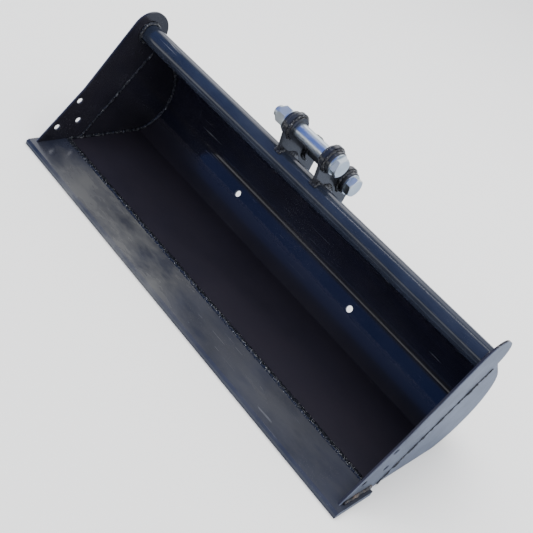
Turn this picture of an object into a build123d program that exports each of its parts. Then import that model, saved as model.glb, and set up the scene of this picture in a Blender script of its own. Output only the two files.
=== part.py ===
from build123d import *
import math
import os

# Grading bucket for a mini excavator, standing on its flat floor.
# +X runs along the width, the mouth faces -Y, +Z is up. All sizes in mm.

# ---- driving dimensions -------------------------------------------------
WIDTH = 1000.0          # over the two side cutters
EDGE_OVERHANG = 10.0    # the cutting edge passes each side cutter by this
CUTTER_T = 5.0          # side cutter plate
END_T = 4.0             # D-shaped end plate
SHELL_T = 6.0           # rolled wrapper
LIP = 4.0               # end plates stand proud of the wrapper for the weld

TUBE_Z = 268.0          # top tube axis
TUBE_R, TUBE_WALL = 22.0, 4.0
DISC_R = 48.0           # round ear of the side cutter, over the tube end

EDGE_T, EDGE_TIP, EDGE_BACK = 12.0, -235.0, -142.0
EDGE_NOSE, EDGE_BEVEL = 8.0, 5.0

MOUTH_KINK = (-129.0, 137.0)    # where the mouth line of the cutter bends
MOUTH_FOOT = -218.0             # where it meets the cutting edge
SEAM_FOOT = -119.0              # seam between side cutter and end plate
CUTTER_HOLES = ((-134.0, 108.0), (-126.5, 57.5), (-176.0, 45.0))
CUTTER_HOLE_R = 7.0

KNUCKLE_Y, KNUCKLE_R, KNUCKLE_DEG = 47.0, 20.0, 18.0
LOW_R, HIGH_R = 105.0, 135.0    # wrapper outside radii, below and above the belly
LEAN_DEG = 135.0                # heading of the straight top run

DRAIN_X, DRAIN_DEG, DRAIN_R = 188.0, 34.0, 7.5

EAR_GAP, EAR_T = 94.0, 8.0      # hanger ears, inside gap and plate
FRONT_PIN = (8.0, 341.0)        # y, z of the two pin axes
REAR_PIN = (84.0, 280.0)
LOBE_R = 29.0
BOSS_R, BOSS_IN, BOSS_OUT = 24.0, 7.0, 11.0
BORE_R, PIN_R = 15.06, 15.0
THREAD_R = 12.0                 # M24 end of the stepped pin
WASHER_R, WASHER_T = 22.0, 3.0
HEX_AF, HEAD_T, NUT_T, PIN_TAIL = 36.0, 12.0, 26.0, 9.0
NUT_COLLAR_R, NUT_COLLAR_T = 16.5, 5.0
EAR_PAD = (26.0, 257.0, 26.5, 7.0)  # heavy weld at the ear's foot: y, z, radius, rise

BEAD = 7.0                      # leg of a fillet weld
GAP = 0.2                       # root gap at a welded joint with a curved face

HALF = WIDTH / 2
INSIDE = HALF - CUTTER_T        # inner face of both end walls
EAR_IN = EAR_GAP / 2
EAR_OUT = EAR_IN + EAR_T
BOSS_FACE = EAR_OUT + BOSS_OUT
Y_SHIFT = 53.0                  # puts the middle of the depth on Y = 0


# ---- wrapper path -------------------------------------------------------
def wrapper_path(inset, end=92.0):
    """Edges and end points of the wrapper's side line, set in from its outside."""
    z = LIP + inset
    y, heading = KNUCKLE_Y, 0.0
    edges = [Line((EDGE_BACK, z), (y, z))]
    corners = [(EDGE_BACK, z), (y, z)]
    runs = ((KNUCKLE_R, KNUCKLE_DEG), (LOW_R, 90 - KNUCKLE_DEG), (HIGH_R, LEAN_DEG - 90))
    for outside_r, turn in runs:
        r = outside_r - inset
        a = math.radians(heading)
        cy, cz = y - r * math.sin(a), z + r * math.cos(a)

        def on(deg):
            b = math.radians(deg)
            return (cy + r * math.sin(b), cz - r * math.cos(b))

        edges.append(ThreePointArc((y, z), on(heading + turn / 2), on(heading + turn)))
        heading += turn
        y, z = on(heading)
        corners.append((y, z))
    a = math.radians(heading)
    last = (y + end * math.cos(a), z + end * math.sin(a))
    edges.append(Line((y, z), last))
    corners.append(last)
    return edges, corners


def wrapper_region(inset, close_at, end=92.0):
    """The area inside the wrapper line, closed through the given points."""
    edges, corners = wrapper_path(inset, end)
    loop = [corners[-1], *close_at, corners[0]]
    edges += [Line(a, b) for a, b in zip(loop, loop[1:])]
    return make_face(edges)


def across(sketch, x0, x1):
    """A side profile drawn in Y and Z, carried from x0 to x1."""
    return extrude(Plane.YZ.offset(min(x0, x1)) * sketch, amount=abs(x1 - x0))


def disc(y, z, r):
    return Pos(y, z) * Circle(r)


def poly(points):
    return make_face(Polyline(*points, close=True))


parts = {}

# ---- cutting edge -------------------------------------------------------
edge_profile = poly([
    (EDGE_TIP, 0), (EDGE_BACK, 0), (EDGE_BACK, EDGE_T),
    (EDGE_TIP + EDGE_BEVEL, EDGE_T), (EDGE_TIP, EDGE_NOSE),
])
reach = HALF + EDGE_OVERHANG
parts["cutting_edge"] = across(edge_profile, -reach, reach)

# ---- wrapper shell ------------------------------------------------------
outer_edges, outer_pts = wrapper_path(0)
inner_edges, inner_pts = wrapper_path(SHELL_T)
shell_face = make_face(
    outer_edges + inner_edges
    + [Line(outer_pts[0], inner_pts[0]), Line(outer_pts[-1], inner_pts[-1])])
shell_face -= disc(0, TUBE_Z, TUBE_R + GAP)
shell = across(shell_face, -INSIDE, INSIDE)
a = math.radians(KNUCKLE_DEG)
knee_c = (KNUCKLE_Y, LIP + KNUCKLE_R)
start = (knee_c[0] + KNUCKLE_R * math.sin(a), knee_c[1] - KNUCKLE_R * math.cos(a))
low_centre = (start[0] - LOW_R * math.sin(a), start[1] + LOW_R * math.cos(a))
drain_a = math.radians(90 - DRAIN_DEG)
drain_dir = Vector(0, math.sin(drain_a), -math.cos(drain_a))
for x in (-DRAIN_X, DRAIN_X):
    drain = Plane(origin=(x, low_centre[0], low_centre[1]), z_dir=drain_dir)
    shell -= extrude(drain * Circle(DRAIN_R), amount=LOW_R + 20)
parts["shell"] = shell

# ---- top tube -----------------------------------------------------------
parts["top_tube"] = across(
    disc(0, TUBE_Z, TUBE_R) - disc(0, TUBE_Z, TUBE_R - TUBE_WALL), -INSIDE, INSIDE)

# ---- side cutters and end plates ---------------------------------------
def tangent_foot(py, pz, side):
    """Point where the line from (py, pz) touches the disc ear."""
    dy, dz = py, pz - TUBE_Z
    d = math.hypot(dy, dz)
    base = math.atan2(dz, dy)
    off = side * math.acos(DISC_R / d)
    return (DISC_R * math.cos(base + off), TUBE_Z + DISC_R * math.sin(base + off))


mouth_top = tangent_foot(*MOUTH_KINK, -1)
seam_top = tangent_foot(SEAM_FOOT, 0, 1)
strip = poly([
    mouth_top, MOUTH_KINK, (MOUTH_FOOT, EDGE_T), (EDGE_BACK, EDGE_T),
    (EDGE_BACK, 0), (SEAM_FOOT, 0), seam_top, (0, TUBE_Z),
])
cutter_face = strip + disc(0, TUBE_Z, DISC_R)
for y, z in CUTTER_HOLES:
    cutter_face -= disc(y, z, CUTTER_HOLE_R)

root = 0.6                      # weld root along the seam
end_face = wrapper_region(-LIP, [(-60, 400), (-200, 300), (-200, 0)], end=120)
end_face -= poly([
    (-400, -20), (SEAM_FOOT + root - 13.1, -20), (SEAM_FOOT + root, 0),
    (seam_top[0] + root, seam_top[1]), (seam_top[0] + root + 54.9, seam_top[1] + 83.6),
    (0, 600), (-400, 600),
])
end_face -= disc(0, TUBE_Z, DISC_R + root)

for side, s in (("left", -1), ("right", 1)):
    parts[side + "_side_cutter"] = across(cutter_face, s * INSIDE, s * HALF)
    parts[side + "_end_plate"] = across(end_face, s * INSIDE, s * (INSIDE + END_T))

# ---- hanger ears --------------------------------------------------------
fy, fz = FRONT_PIN
ry, rz = REAR_PIN
ear_face = poly([
    (fy - LOBE_R + 0.5, fz), (-14, 300), (-13, 280), (0, TUBE_Z), (42, 246), (96, 180),
    (104, 190), (108, 216), (ry + LOBE_R - 0.5, rz), (ry, rz + 18), (fy + 16, fz - 4),
])
ear_face += disc(fy, fz, LOBE_R) + disc(ry, rz, LOBE_R)
ear_face -= disc(0, TUBE_Z, TUBE_R + GAP)
ear_face -= wrapper_region(-GAP, [(-142, 240)])
ear_face -= poly([(-22, 268), (-22, 240), (30, 222), (30, 244), (12, 262)])
ear_face -= disc(fy, fz, BOSS_R) + disc(ry, rz, BOSS_R)
for side, s in (("left", -1), ("right", 1)):
    ear = across(ear_face, s * EAR_IN, s * EAR_OUT)
    parts[side + "_ear"] = ear
    for place, (y, z) in (("front", FRONT_PIN), ("rear", REAR_PIN)):
        ring = disc(y, z, BOSS_R) - disc(y, z, BORE_R)
        boss = across(ring, s * (EAR_IN - BOSS_IN), s * BOSS_FACE)
        outer_rim = [e for e in boss.edges().filter_by(GeomType.CIRCLE)
                     if abs(e.radius - BOSS_R) < 0.1]
        parts[f"{side}_{place}_boss"] = chamfer(outer_rim, 1.0)

# ---- pins, washers and nuts --------------------------------------------
head_x = BOSS_FACE + WASHER_T
nut_x = -head_x


def hex_block(y, z, x0, x1, turn, cone_out):
    """Hexagon with its corners turned off on the outer face."""
    six = Pos(y, z) * RegularPolygon(HEX_AF / 2, 6, major_radius=False, rotation=turn)
    block = across(six, x0, x1)
    big = HEX_AF / math.sqrt(3)
    outer = x1 if cone_out > 0 else x0
    cone = Cone(big + 24.5, HEX_AF / 2 - 0.5, 16)
    tool = Pos(outer - cone_out * 8, y, z) * Rot(0, 90 * cone_out, 0) * cone
    back = across(disc(y, z, 60), outer - cone_out * 16, outer - cone_out * 60)
    return block & (tool + back)


hex_t = NUT_T - NUT_COLLAR_T
for place, (y, z), turn in (("front", FRONT_PIN, 12.0), ("rear", REAR_PIN, 38.0)):
    body = across(disc(y, z, PIN_R), -BOSS_FACE + 0.5, head_x)
    end_x = nut_x - NUT_T - PIN_TAIL
    thread = across(disc(y, z, THREAD_R), end_x, -BOSS_FACE + 0.5)
    tip = [e for e in thread.edges().filter_by(GeomType.CIRCLE) if e.center().X < nut_x]
    head = hex_block(y, z, head_x, head_x + HEAD_T, turn, 1)
    parts[place + "_pin"] = chamfer(tip, 1.8) + body + head
    bore = THREAD_R + 0.06
    head_ring = disc(y, z, WASHER_R) - disc(y, z, PIN_R + 0.3)
    nut_ring = disc(y, z, WASHER_R) - disc(y, z, THREAD_R + 0.5)
    parts[place + "_head_washer"] = across(head_ring, BOSS_FACE, head_x)
    parts[place + "_nut_washer"] = across(nut_ring, -head_x, -BOSS_FACE)
    nut = hex_block(y, z, nut_x - hex_t, nut_x, turn + 17, -1)
    collar = across(disc(y, z, NUT_COLLAR_R), nut_x - NUT_T, nut_x - hex_t)
    rim = [e for e in collar.edges().filter_by(GeomType.CIRCLE)
           if e.center().X < nut_x - hex_t - 1]
    nut = nut + chamfer(rim, 1.6)
    parts[place + "_nut"] = nut - across(disc(y, z, bore), nut_x - 60, nut_x + 5)

# ---- weld beads ---------------------------------------------------------
def trimmed(bead, *names):
    """The bead less the steel it lies against."""
    for n in names:
        bead -= parts[n]
    return bead


def run_of(edges, r, x):
    """A round bead of radius r along side-profile edges in the plane at x."""
    wire = Plane.YZ.offset(x) * Wire(edges)
    section = Plane(origin=wire @ 0, z_dir=wire % 0) * Circle(r)
    return sweep(section, path=wire)


def ring_of(y, z, major, r, x):
    return Pos(x, y, z) * Rot(0, 90, 0) * Torus(major, r)


def crown(y, z, rx, ry_, rot=0):
    """A long flat bead across the width."""
    return across(Pos(y, z) * Rot(0, 0, rot) * Ellipse(rx, ry_), 1 - INSIDE, INSIDE - 1)


parts["edge_weld"] = trimmed(
    crown(EDGE_BACK, EDGE_T - 2.5, 7, 4.6) - across(poly([
        (-200, -20), (-100, -20), (-100, 9), (-200, 9)]), -INSIDE, INSIDE),
    "cutting_edge", "shell")
parts["tube_weld"] = trimmed(crown(23.5, 250.5, 7, 7), "top_tube", "shell")

rise, run = seam_top[1], seam_top[0] - SEAM_FOOT
seam_len = math.hypot(rise, run)
uy, uz = run / seam_len, rise / seam_len


def on_seam(t):
    return (SEAM_FOOT + uy * t, uz * t)


inner_edges, _ = wrapper_path(SHELL_T, end=78)
for side, s in (("left", -1), ("right", 1)):
    cut, end = side + "_side_cutter", side + "_end_plate"
    walls = (cut, end, "shell", "top_tube", "cutting_edge")
    line = [Line(on_seam(5), on_seam(seam_len - 4))]
    seam = run_of(line, 3.2, s * (INSIDE + 0.4)) + run_of(line, 4.0, s * (INSIDE + END_T - 1.2))
    parts[side + "_seam_weld"] = trimmed(seam, *walls)
    ring = ring_of(0, TUBE_Z, TUBE_R, BEAD - 1, s * INSIDE)
    ring -= across(disc(0, TUBE_Z, TUBE_R - 0.5), -HALF, HALF)
    outside = across(disc(0, 0, 500), s * INSIDE, s * (HALF + 20))
    ring -= outside
    parts[side + "_tube_end_weld"] = trimmed(ring, *walls, "tube_weld")
    inside = run_of(inner_edges, BEAD - 2.2, s * INSIDE) - outside
    parts[side + "_shell_weld"] = trimmed(
        inside, *walls, "edge_weld", "tube_weld", side + "_seam_weld",
        side + "_tube_end_weld")
    ledge = run_of([Line((-210, EDGE_T), (EDGE_BACK + 4, EDGE_T))], BEAD - 2, s * HALF)
    parts[side + "_ledge_weld"] = trimmed(ledge, *walls)

    ear, bosses = side + "_ear", (side + "_front_boss", side + "_rear_boss")
    py, pz, pad_r, rise_x = EAR_PAD
    toes = None
    for x in (s * EAR_IN, s * EAR_OUT):
        pad = Pos(x, py, pz) * scale(Sphere(pad_r), by=(rise_x / pad_r, 1, 1))
        arc = CenterArc((0, TUBE_Z), TUBE_R, 92, 38)
        toe = run_of([arc], BEAD - 2, x)
        heel = run_of([Line((54, 284.4 - 54), (88, 284.4 - 88))], BEAD - 2, x)
        for one in (pad, toe, heel):
            toes = one if toes is None else toes + one
    inner = wrapper_region(0.0, [(-142, 240)])
    toes -= across(inner, -HALF, HALF) + across(disc(0, TUBE_Z, TUBE_R), -HALF, HALF)
    parts[side + "_ear_welds"] = trimmed(toes, ear, "top_tube", "shell", "tube_weld", *bosses)
    rings = None
    for y, z in (FRONT_PIN, REAR_PIN):
        for x in (s * EAR_OUT, s * EAR_IN):
            one = ring_of(y, z, BOSS_R, 4.0, x)
            rings = one if rings is None else rings + one
    parts[side + "_boss_welds"] = trimmed(rings, ear, *bosses)

# ---- hand over ----------------------------------------------------------
os.makedirs("parts", exist_ok=True)
for name, shape in parts.items():
    solids = shape.solids()
    placed = Compound(children=[Pos(0, Y_SHIFT, 0) * one for one in solids]) \
        if len(solids) > 1 else Pos(0, Y_SHIFT, 0) * solids[0]
    export_step(placed, f"parts/{name}.step")
    print(name, len(solids), round(sum(one.volume for one in solids) / 1000, 1))
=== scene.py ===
import bpy
import math
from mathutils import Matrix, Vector


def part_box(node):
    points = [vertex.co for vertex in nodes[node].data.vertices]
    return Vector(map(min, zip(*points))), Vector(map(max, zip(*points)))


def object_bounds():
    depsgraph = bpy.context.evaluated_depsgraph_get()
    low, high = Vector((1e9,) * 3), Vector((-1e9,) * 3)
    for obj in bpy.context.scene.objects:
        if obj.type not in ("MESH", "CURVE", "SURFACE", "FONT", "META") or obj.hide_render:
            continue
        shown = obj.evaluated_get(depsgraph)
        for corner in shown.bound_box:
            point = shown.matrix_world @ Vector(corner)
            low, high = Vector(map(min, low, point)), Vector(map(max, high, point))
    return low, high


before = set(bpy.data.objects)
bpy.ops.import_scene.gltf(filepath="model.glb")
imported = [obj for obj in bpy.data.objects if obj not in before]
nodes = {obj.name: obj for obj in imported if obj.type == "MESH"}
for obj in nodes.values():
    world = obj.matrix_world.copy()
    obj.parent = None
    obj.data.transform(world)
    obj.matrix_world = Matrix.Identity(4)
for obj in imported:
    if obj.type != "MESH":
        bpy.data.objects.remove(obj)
cad_box = [list(c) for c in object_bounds()]


# ---------------------------------------------------------------- named values
# colours of paint, films and marks, linear
NAVY = (0.0055, 0.0056, 0.0105)
DARK = (0.0055, 0.0062, 0.0090)
DUST = (0.10, 0.095, 0.09)
SPECK = (0.33, 0.32, 0.31)
SCRATCH = (0.20, 0.21, 0.24)
# dust on the trough floor painted as if lit by sun, with sand specks and a lighter grain along
# the painted shadow edge of the top tube
SUNLIT_DUST_FILM = (0.0165, 0.0142, 0.0215)
SAND = (0.10, 0.095, 0.10)
RIM = (0.12, 0.11, 0.11)
# a lighter grey painted as a broad sun glare across the blade
GLARE_GREY = (0.082, 0.083, 0.086)
# a pale bluish film on the outside faces of the side plates, part dust and part painted sky
# reflection
OUTER_DUST_AND_SKY = (0.115, 0.135, 0.185)
RUST = (0.16, 0.11, 0.08)
GLINT = (0.62, 0.64, 0.68)

# lengths in metres
TROUGH_R = 0.104        # curved back of the trough, for the dust painted as lit by sun
SUN_EDGE_DEG = 52.0    # how far up that curve the dust and the painted sunlight reach, at a painted shadow edge of the top tube
FACE_DEPTH = 0.0014     # the outer film reaches this far into a side plate
RIPPLE_PITCH = 0.0042   # of the weld beads
BEAD_OUT = 0.004        # a bead round the tube runs this far outside it
BOWL_BEAD_R = 0.11
BOSS_BEAD_R = 0.026
LUMP_SIZE, LUMP_RISE = 0.0075, 0.0038
WELD_VOXEL = 0.0012
PLATE_ROLL, ZINC_ROLL = 0.0005, 0.0007
FLOOR_SIZE, FLOOR_DROP = 40, 0.0002


# ---------------------------------------------------------------- node helpers
class Graph:
    """A small builder for node trees."""

    def __init__(self, owner, coord):
        owner.use_nodes = True
        self.tree = owner.node_tree
        self.tree.nodes.clear()
        self.coord = self.node("ShaderNodeTexCoord").outputs[coord]

    def node(self, kind, **props):
        n = self.tree.nodes.new(kind)
        for k, v in props.items():
            setattr(n, k, v)
        return n

    def link(self, a, b):
        self.tree.links.new(a, b)

    def split(self, vec=None):
        n = self.node("ShaderNodeSeparateXYZ")
        self.link(vec or self.coord, n.inputs[0])
        return n.outputs[0], n.outputs[1], n.outputs[2]

    def stretch(self, scale, turn=(0, 0, 0)):
        m = self.node("ShaderNodeMapping")
        m.inputs["Scale"].default_value = scale
        m.inputs["Rotation"].default_value = turn
        self.link(self.coord, m.inputs["Vector"])
        return m.outputs[0]

    def noise(self, scale, detail=4.0, rough=0.55, vec=None):
        n = self.node("ShaderNodeTexNoise")
        n.inputs["Scale"].default_value = scale
        n.inputs["Detail"].default_value = detail
        n.inputs["Roughness"].default_value = rough
        self.link(vec or self.coord, n.inputs["Vector"])
        return n.outputs["Fac"]

    def cells(self, scale):
        n = self.node("ShaderNodeTexVoronoi", feature="F1")
        n.inputs["Scale"].default_value = scale
        self.link(self.coord, n.inputs["Vector"])
        return n.outputs["Distance"]

    def ramp(self, fac, *stops):
        n = self.node("ShaderNodeValToRGB")
        el = n.color_ramp.elements
        while len(el) < len(stops):
            el.new(0.5)
        for e, (p, c) in zip(el, stops):
            e.position = p
            e.color = (*c, 1) if isinstance(c, tuple) else (c, c, c, 1)
        self.link(fac, n.inputs[0])
        return n.outputs[0]

    def math(self, op, a, b=0.0, clamp=False):
        n = self.node("ShaderNodeMath", operation=op, use_clamp=clamp)
        for i, v in enumerate((a, b)):
            if isinstance(v, (int, float)):
                n.inputs[i].default_value = v
            else:
                self.link(v, n.inputs[i])
        return n.outputs[0]

    def mix(self, fac, a, b):
        n = self.node("ShaderNodeMix", data_type="RGBA")
        for i, v in ((0, fac), (6, a), (7, b)):
            if isinstance(v, (int, float)):
                n.inputs[i].default_value = v
            elif isinstance(v, tuple):
                n.inputs[i].default_value = (*v, 1)
            else:
                self.link(v, n.inputs[i])
        return n.outputs[2]


class Mat(Graph):
    """A node material on one principled surface."""

    def __init__(self, name):
        self.mat = bpy.data.materials.new(name)
        super().__init__(self.mat, "Object")
        self.out = self.node("ShaderNodeOutputMaterial")
        self.bsdf = self.node("ShaderNodeBsdfPrincipled")
        self.link(self.bsdf.outputs[0], self.out.inputs[0])

    def set(self, **values):
        for k, v in values.items():
            self.bsdf.inputs[k.replace("_", " ")].default_value = v

    def to(self, socket, value):
        self.link(value, self.bsdf.inputs[socket])

    def bump(self, *layers):
        last = None
        for height, strength, distance in layers:
            n = self.node("ShaderNodeBump")
            n.inputs["Strength"].default_value = strength
            n.inputs["Distance"].default_value = distance
            self.link(height, n.inputs["Height"])
            if last:
                self.link(last, n.inputs["Normal"])
            last = n.outputs[0]
        self.to("Normal", last)


def uneven(m, noise, amount):
    """A noise centred on zero, to make a straight limit wander."""
    return m.math("MULTIPLY", m.math("SUBTRACT", noise, 0.5), amount)


def sunlit_dust(m, centre):
    """Dust on the floor of the trough, painted as lit by sun: it ends part way up the curved
    back at a painted shadow edge of the top tube, and a lighter grain runs along that edge.
    """
    y, z = m.split()[1:]
    dy, dz = m.math("SUBTRACT", y, centre[0]), m.math("SUBTRACT", centre[1], z)
    up = m.math("DIVIDE", m.math("ARCTAN2", dy, dz), math.radians(SUN_EDGE_DEG))
    up = m.math("ADD", up, uneven(m, m.noise(26.0, 5.0, 0.7), 0.10))
    low = m.math("GREATER_THAN", dz, 0.0)
    fade = m.ramp(up, (0.30, 1.0), (0.955, 0.55), (0.98, 0.0))
    rim = m.ramp(up, (0.80, 0.0), (0.97, 1.0), (1.0, 0.0))
    return m.math("MULTIPLY", fade, low), m.math("MULTIPLY", rim, low)


def paint(name, base, dust, rough, peel, streak=(1, 1, 1),
          trough=None, outer=None, glare_half=None):
    """Gloss enamel over steel: orange peel, wipe marks, dust specks and hairline scratches.

    trough is the y, z centre of a curved back whose dust is painted as lit by sun up to a
    painted shadow edge, outer the distance from the middle past which a pale bluish film lies,
    part dust and part painted sky reflection, and dried half the width of a painted sun glare.
    """
    m = Mat(name)
    m.set(Metallic=0.0, IOR=1.45, Coat_Weight=0.15, Coat_Roughness=0.08)
    blotch = m.noise(6.0, 5.0, 0.6)
    film = m.noise(3.2, 7.0, 0.68, m.stretch(streak))
    speck = m.ramp(m.cells(420.0), (0.0, 1.0), (0.09, 1.0), (0.13, 0.0))
    patch = m.ramp(m.noise(9.0, 6.0, 0.7), (0.50, 0.0), (0.68, 1.0))
    specks = m.math("MULTIPLY", speck, patch)
    hair = m.stretch((3.0, 260.0, 60.0), (0.35, 0.2, 0.5))
    hair2 = m.stretch((4.0, 60.0, 300.0), (-0.5, 0.3, -0.25))
    line = m.ramp(m.noise(2.0, 2.0, 0.4, hair), (0.735, 0.0), (0.745, 1.0))
    line2 = m.ramp(m.noise(2.0, 2.0, 0.4, hair2), (0.725, 0.0), (0.74, 1.0))
    lines = m.math("MULTIPLY", m.math("MAXIMUM", line, line2), patch)
    tint = m.mix(m.ramp(blotch, (0.35, 0.0), (0.7, 1.0)), base, tuple(c * 1.9 for c in base))
    dusty = m.ramp(film, (0.46, 0.0), (0.78, dust))
    col = m.mix(dusty, tint, DUST)
    col = m.mix(m.math("MULTIPLY", specks, 0.55), col, SPECK)
    col = m.mix(m.math("MULTIPLY", lines, 0.5), col, SCRATCH)
    r = m.ramp(film, (0.3, rough[0]), (0.75, rough[1]))
    # dust on the trough floor, painted as lit by sun below a painted shadow edge of the top
    # tube; the sand specks and the lighter grain at that edge lie only within it
    if trough:
        dust_in_sun, rim = sunlit_dust(m, trough)
        grain = m.ramp(m.noise(700.0, 2.0, 0.6), (0.50, 0.0), (0.75, 1.0))
        drift = m.noise(4.0, 8.0, 0.72, m.stretch((1.0, 2.6, 2.6)))
        drift = m.ramp(drift, (0.34, 0.45), (0.66, 1.0))
        col = m.mix(m.math("MULTIPLY", dust_in_sun, drift), col, SUNLIT_DUST_FILM)
        sand = m.ramp(m.cells(820.0), (0.0, 1.0), (0.10, 1.0), (0.16, 0.0))
        sand = m.math("MULTIPLY", m.math("MULTIPLY", dust_in_sun, sand), 0.30)
        col = m.mix(sand, col, SAND)
        col = m.mix(m.math("MULTIPLY", m.math("MULTIPLY", rim, grain), 0.35), col, RIM)
        r = m.math("ADD", r, m.math("MULTIPLY", dust_in_sun, 0.32))
    # painted highlight: a broad sun glare across the blade, a lighter grey in the paint
    # colour, strongest left of the middle and fading towards the ends
    if glare_half:
        x = m.math("ADD", m.split()[0], uneven(m, m.noise(9.0, 5.0, 0.6), 0.16))
        run = m.ramp(m.math("DIVIDE", m.math("ADD", x, glare_half), 2 * glare_half),
                     (0.03, 0.0), (0.16, 0.9), (0.44, 1.0),
                     (0.54, 0.30), (0.80, 0.36), (1.0, 0.12))
        spread = m.noise(12.0, 6.0, 0.62, m.stretch((0.6, 1.6, 1.0)))
        glare = m.math("MULTIPLY", run, m.ramp(spread, (0.36, 0.22), (0.58, 1.0)))
        col = m.mix(glare, col, GLARE_GREY)
        r = m.math("ADD", r, m.math("MULTIPLY", glare, 0.12))
    # outside faces of the side plates: a pale bluish mottled film, part dust and part painted
    # reflection of the sky
    if outer:
        x = m.split()[0]
        out = m.math("GREATER_THAN", m.math("ABSOLUTE", x), outer)
        mottle = m.ramp(m.noise(22.0, 6.0, 0.65), (0.3, 0.45), (0.72, 1.0))
        col = m.mix(m.math("MULTIPLY", out, mottle), col, OUTER_DUST_AND_SKY)
        r = m.math("ADD", r, m.math("MULTIPLY", out, 0.20))
    m.to("Base Color", col)
    r = m.math("ADD", r, m.math("MULTIPLY", specks, 0.4))
    r = m.math("ADD", r, m.math("MULTIPLY", lines, 0.25), True)
    m.to("Roughness", r)
    m.bump((m.noise(55.0, 2.0, 0.5), peel * 0.10, 0.002),
           (m.noise(420.0, 2.0, 0.5), peel * 0.16, 0.0006),
           (specks, 0.12, 0.0004), (lines, 0.1, -0.0002))
    return m.mat


def bead_paint(name, base, turn=(0, 0, 0), ring=None, heat=0.0):
    """Paint over a weld: scalloped ripples across the run, a rusty tint and bright glints.

    A straight run is turned onto X by turn; a round one has ring, its y, z and radius.
    """
    m = Mat(name)
    m.set(Metallic=0.0, IOR=1.5, Coat_Weight=0.2, Coat_Roughness=0.1)
    wobble = m.noise(38.0, 3.0, 0.6)
    if ring:
        y, z = m.split()[1:]
        around = m.math("ARCTAN2", m.math("SUBTRACT", z, ring[1]),
                        m.math("SUBTRACT", y, ring[0]))
        along = m.math("MULTIPLY", around, ring[2])
    else:
        along = m.split(m.stretch((1, 1, 1), turn))[0]
    phase = m.math("ADD", m.math("MULTIPLY", along, 1.0 / RIPPLE_PITCH),
                   m.math("MULTIPLY", wobble, 1.6))
    ripple = m.ramp(m.math("FRACT", phase), (0.0, 0.0), (0.35, 0.75), (0.8, 1.0), (1.0, 0.0))
    lumps = m.noise(160.0, 4.0, 0.6)
    raised = tuple(c * 2.4 + 0.004 for c in base)
    col = m.mix(m.ramp(lumps, (0.45, 0.0), (0.75, 1.0)), base, raised)
    if heat:
        rust = m.ramp(m.noise(60.0, 4.0, 0.7), (0.5, 0.0), (0.66, heat))
        col = m.mix(rust, col, RUST)
    glint = m.math("MULTIPLY", m.ramp(m.cells(430.0), (0.0, 1.0), (0.16, 1.0), (0.24, 0.0)),
                   m.ramp(m.noise(75.0, 3.0, 0.6), (0.47, 0.0), (0.56, 1.0)))
    col = m.mix(m.math("MULTIPLY", glint, 0.8), col, GLINT)
    m.to("Base Color", col)
    m.to("Roughness", m.ramp(lumps, (0.3, 0.16), (0.75, 0.42)))
    m.bump((ripple, 0.55, 0.0011), (lumps, 0.35, 0.0008),
           (m.noise(600.0, 2.0, 0.5), 0.15, 0.0002))
    return m.mat


def zinc(name, rough):
    """Bright zinc plating with a pale blue passivate, faintly cloudy and scuffed."""
    m = Mat(name)
    m.set(Metallic=1.0)
    cloud = m.noise(45.0, 4.0, 0.5)
    stain = m.noise(18.0, 3.0, 0.5)
    col = m.mix(m.ramp(cloud, (0.3, 0.0), (0.7, 1.0)), (0.56, 0.62, 0.66), (0.70, 0.75, 0.76))
    col = m.mix(m.ramp(stain, (0.50, 0.0), (0.72, 0.5)), col, (0.52, 0.55, 0.52))
    spots = m.ramp(m.cells(260.0), (0.0, 1.0), (0.06, 1.0), (0.10, 0.0))
    col = m.mix(m.math("MULTIPLY", spots, 0.4), col, (0.22, 0.23, 0.25))
    m.to("Base Color", col)
    turned = m.noise(3.0, 2.0, 0.5, m.stretch((700.0, 12.0, 12.0)))
    r = m.ramp(cloud, (0.3, rough - 0.04), (0.75, rough + 0.06))
    m.to("Roughness", m.math("ADD", r, m.math("MULTIPLY", turned, 0.04), True))
    m.bump((turned, 0.04, 0.0002), (m.noise(900.0, 2.0, 0.5), 0.03, 0.0001))
    return m.mat


def centre_yz(name):
    """Middle of a node seen from the side, and its half height."""
    lo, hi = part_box(name)
    return (lo[1] + hi[1]) / 2, (lo[2] + hi[2]) / 2, (hi[2] - lo[2]) / 2


def finish_with(names, mat):
    for n in names:
        o = nodes[n]
        if not o.material_slots:
            o.data.materials.append(mat)
        for s in o.material_slots:
            s.link = "OBJECT"
            s.material = mat


# ---------------------------------------------------------------- paint and plating
sides, places = ("left", "right"), ("front", "rear")
lo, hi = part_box("shell")
bowl = paint("gloss_black_bowl", NAVY, 0.06, (0.05, 0.12), 0.12, (1.0, 3.0, 3.0),
             trough=(hi[1] - TROUGH_R, lo[2] + TROUGH_R))
plate = paint("gloss_black_plate", (0.0095, 0.0092, 0.0140), 0.16, (0.12, 0.24), 0.35,
              (2.0, 1.0, 1.0), outer=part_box("right_side_cutter")[1][0] - FACE_DEPTH)
tube = paint("gloss_black_tube", (0.009, 0.012, 0.022), 0.14, (0.13, 0.20), 0.07,
             (0.6, 4.0, 4.0))
edge = paint("gloss_black_edge", (0.012, 0.014, 0.024), 0.20, (0.14, 0.28), 0.3,
             (0.7, 3.0, 3.0), glare_half=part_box("cutting_edge")[1][0])
lug = paint("gloss_black_lug", (0.009, 0.010, 0.014), 0.22, (0.18, 0.32), 0.5)
finish_with(["shell"], bowl)
finish_with(["cutting_edge"], edge)
finish_with(["top_tube", "tube_weld"], tube)
finish_with([s + p for s in sides for p in ("_side_cutter", "_end_plate")], plate)
finish_with([s + p for s in sides for p in ("_ear", "_front_boss", "_rear_boss")], lug)

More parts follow.
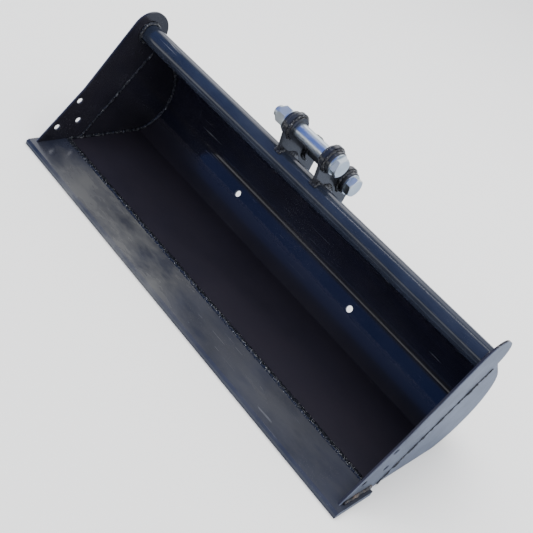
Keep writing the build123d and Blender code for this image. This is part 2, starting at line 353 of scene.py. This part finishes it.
tube_y, tube_z, tube_r = centre_yz("top_tube")
round_tube = (tube_y, tube_z, tube_r + BEAD_OUT)
finish_with(["edge_weld"], bead_paint("weld_long", DARK))
finish_with([s + "_ledge_weld" for s in sides],
            bead_paint("weld_ledge", (0.012, 0.011, 0.012), (0, 0, math.pi / 2), heat=0.8))
lo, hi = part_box("left_seam_weld")
lean = math.atan2(hi[2] - lo[2], hi[1] - lo[1])
finish_with([s + "_seam_weld" for s in sides],
            bead_paint("weld_seam", DARK, (0, lean, -math.pi / 2)))
finish_with([s + "_shell_weld" for s in sides],
            bead_paint("weld_bowl", DARK, ring=(*centre_yz("shell")[:2], BOWL_BEAD_R)))
finish_with([s + "_tube_end_weld" for s in sides],
            bead_paint("weld_tube_end", DARK, ring=round_tube))
finish_with([s + "_ear_welds" for s in sides],
            bead_paint("weld_ear", (0.012, 0.012, 0.014), ring=round_tube))
front_pin = centre_yz("front_head_washer")[:2]
finish_with([s + "_boss_welds" for s in sides],
            bead_paint("weld_boss", (0.011, 0.011, 0.013), ring=(*front_pin, BOSS_BEAD_R)))
finish_with([p + "_pin" for p in places], zinc("zinc_bright", 0.33))
finish_with([f"{p}_{w}" for p in places for w in ("nut", "nut_washer", "head_washer")],
            zinc("zinc_satin", 0.38))

# weld metal laid by hand: the beads are lumpy and uneven
lump = bpy.data.textures.new("weld_lumps", "CLOUDS")
lump.noise_scale, lump.noise_depth = LUMP_SIZE, 2
for n in [n for n in nodes if "weld" in n and n != "tube_weld"]:
    skin = nodes[n].modifiers.new("weld_skin", "REMESH")
    skin.mode, skin.voxel_size, skin.use_smooth_shade = "VOXEL", WELD_VOXEL, True
    push = nodes[n].modifiers.new("weld_lumps", "DISPLACE")
    push.texture, push.strength, push.mid_level = lump, LUMP_RISE, 0.5

# small rolled edges, so that plate and hardware catch the light
plates = [s + p for s in sides for p in ("_side_cutter", "_end_plate", "_ear")]
hardware = [f"{p}_{w}" for p in places for w in ("pin", "nut", "nut_washer", "head_washer")]
for names, width in ((plates + ["cutting_edge"], PLATE_ROLL), (hardware, ZINC_ROLL)):
    for n in names:
        b = nodes[n].modifiers.new("rolled_edge", "BEVEL")
        b.width, b.segments, b.limit_method = width, 2, "ANGLE"
        b.angle_limit = math.radians(40)
        b.harden_normals = True

# ---------------------------------------------------------------- floor, light, camera
lo, hi = (Vector(c) for c in cad_box)
mid = (lo + hi) / 2
bpy.ops.mesh.primitive_plane_add(size=FLOOR_SIZE, location=(0, 0, lo.z - FLOOR_DROP))
floor = bpy.context.object
floor.name = "floor"
fm = Mat("pale_floor")
fm.set(Roughness=0.9, Specular_IOR_Level=0.1)
pale = fm.mix(fm.noise(1.5, 4.0), (0.90, 0.90, 0.91), (0.93, 0.93, 0.93))
# what the gloss mirrors of the floor near the bucket is darker than the floor itself
fx, fy = fm.split()[:2]
away = fm.math("ADD", fm.math("MULTIPLY", fx, fx), fm.math("MULTIPLY", fy, fy))
away = fm.math("SQRT", away)
near = fm.ramp(fm.math("DIVIDE", away, 3.0), (0.34, 1.0), (0.46, 0.0))
seen = fm.math("MULTIPLY", near, fm.node("ShaderNodeLightPath").outputs["Is Glossy Ray"])
ahead = fm.ramp(fm.math("MULTIPLY", fy, -1.0), (0.20, 0.0), (0.26, 1.0))
mirrored = fm.mix(ahead, (0.36, 0.41, 0.52), (0.035, 0.034, 0.040))
fm.to("Base Color", fm.mix(seen, pale, mirrored))
floor.data.materials.append(fm.mat)

world = bpy.data.worlds.new("studio")
bpy.context.scene.world = world
w = Graph(world, "Generated")
dy, dz = w.split()[1:]


def toward(direction, inner, outer):
    """1 within a cone around a direction, fading out between two angles in degrees."""
    n = w.node("ShaderNodeVectorMath", operation="DOT_PRODUCT")
    w.link(w.coord, n.inputs[0])
    n.inputs[1].default_value = Vector(direction).normalized()
    near, far = math.cos(math.radians(inner)), math.cos(math.radians(outer))
    inside = w.math("SUBTRACT", n.outputs["Value"], far)
    return w.ramp(w.math("DIVIDE", inside, near - far, True), (0.0, 0.0), (1.0, 1.0))


# an even pale dome lights the room; what the gloss mirrors is a blue sky with one bright cloud
sky = w.mix(w.ramp(dy, (0.0, 1.0), (0.22, 0.0)), (0.24, 0.31, 0.45), (0.095, 0.185, 0.68))
sky = w.mix(w.ramp(dz, (0.03, 1.0), (0.17, 0.0)), sky, (0.17, 0.20, 0.26))
haze = w.math("MULTIPLY", w.ramp(dz, (0.05, 1.0), (0.45, 0.0)),
              w.ramp(dy, (0.05, 0.0), (0.3, 1.0)))
sky = w.mix(haze, sky, (0.95, 0.95, 1.0))
cloud = w.math("MULTIPLY", toward((-0.50, 0.64, 0.58), 8, 24),
               w.ramp(w.noise(5.0, 5.0, 0.6), (0.30, 0.35), (0.60, 1.0)))
sky = w.mix(cloud, sky, (3.2, 3.2, 3.3))
sky = w.mix(toward((1.0, 0.2, 0.15), 35, 60), sky, (1.5, 1.55, 1.7))
ground = w.math("MULTIPLY", w.ramp(dz, (0.045, 1.0), (0.06, 0.0)),
                w.ramp(dy, (0.0, 1.0), (0.1, 0.0)))
sky = w.mix(ground, sky, (0.035, 0.035, 0.04))
dome = w.node("ShaderNodeBackground")
dome.inputs[0].default_value = (0.97, 0.985, 1.0, 1)
dome.inputs[1].default_value = 1.5
mirror = w.node("ShaderNodeBackground")
w.link(sky, mirror.inputs[0])
pick = w.node("ShaderNodeMixShader")
w.link(w.node("ShaderNodeLightPath").outputs["Is Glossy Ray"], pick.inputs[0])
w.link(dome.outputs[0], pick.inputs[1])
w.link(mirror.outputs[0], pick.inputs[2])
w.link(pick.outputs[0], w.node("ShaderNodeOutputWorld").inputs[0])


def soft_light(name, at, aim, size, power, colour):
    """Rectangular area light at one point, aimed at another."""
    data = bpy.data.lights.new(name, "AREA")
    data.shape = "RECTANGLE"
    data.size, data.size_y = size
    data.energy = power
    data.color = colour
    o = bpy.data.objects.new(name, data)
    bpy.context.scene.collection.objects.link(o)
    o.location = at
    o.rotation_euler = (Vector(aim) - Vector(at)).to_track_quat("-Z", "Y").to_euler()
    return o


key = soft_light("overhead", (0.0, 0.6, 3.2), mid, (3.0, 3.0), 120, (1.0, 0.99, 0.97))
key.visible_glossy = False
soft_light("strip", (-0.5, 0.5, 3.0), mid, (2.6, 0.16), 9, (1.0, 1.0, 1.0))

cam_data = bpy.data.cameras.new("camera")
cam = bpy.data.objects.new("camera", cam_data)
bpy.context.scene.collection.objects.link(cam)
cam.location = (0.7511, -1.0612, 1.0551)
cam.rotation_euler = (0.87426, -0.35464, 0.85658)
cam_data.sensor_width = 36.0
cam_data.lens = 55.615
bpy.context.scene.camera = cam
